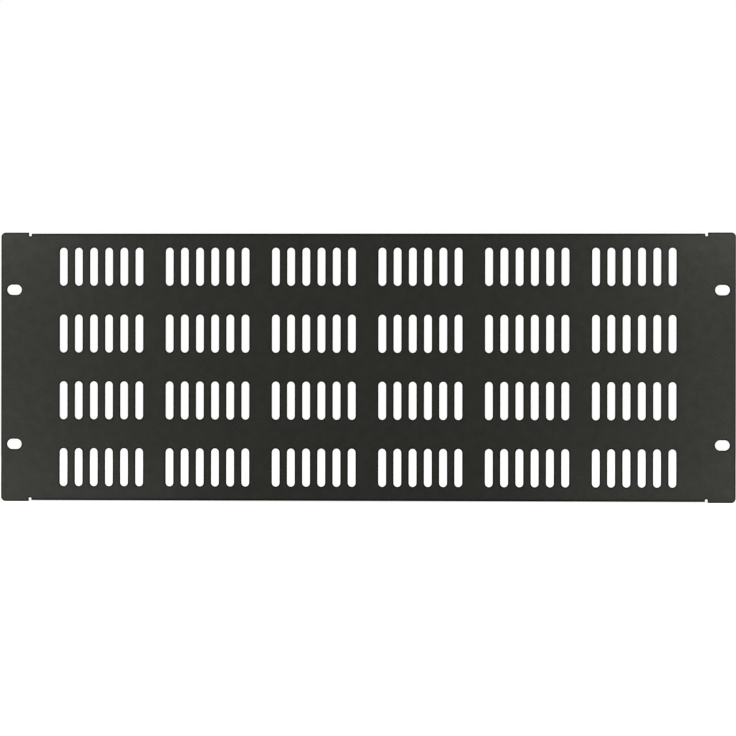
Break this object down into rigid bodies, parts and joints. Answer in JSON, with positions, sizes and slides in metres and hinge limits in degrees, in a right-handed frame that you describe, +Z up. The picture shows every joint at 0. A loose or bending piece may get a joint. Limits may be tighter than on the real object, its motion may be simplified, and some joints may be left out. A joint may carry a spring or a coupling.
{
  "type": "rack blanking panel",
  "caption": "Flat steel rack blanking panel with folded top and bottom flanges, groups of upright vent slots and slotted ears for rack screws.",
  "frame": {"origin": "centre of the four rack slots, on the back face of the sheet, which lies against the rack's rails", "axes": "+X to the right seen from the front, +Y back into the rack, square to the sheet, +Z up"},
  "size_m": [0.4826, 0.015, 0.177],
  "materials": {
    "powder_coat": "near-black powder coat, fine texture, low sheen"
  },
  "bodies": {
    "root": {"vented_panel": "powder_coat"}
  },
  "joints": []
}
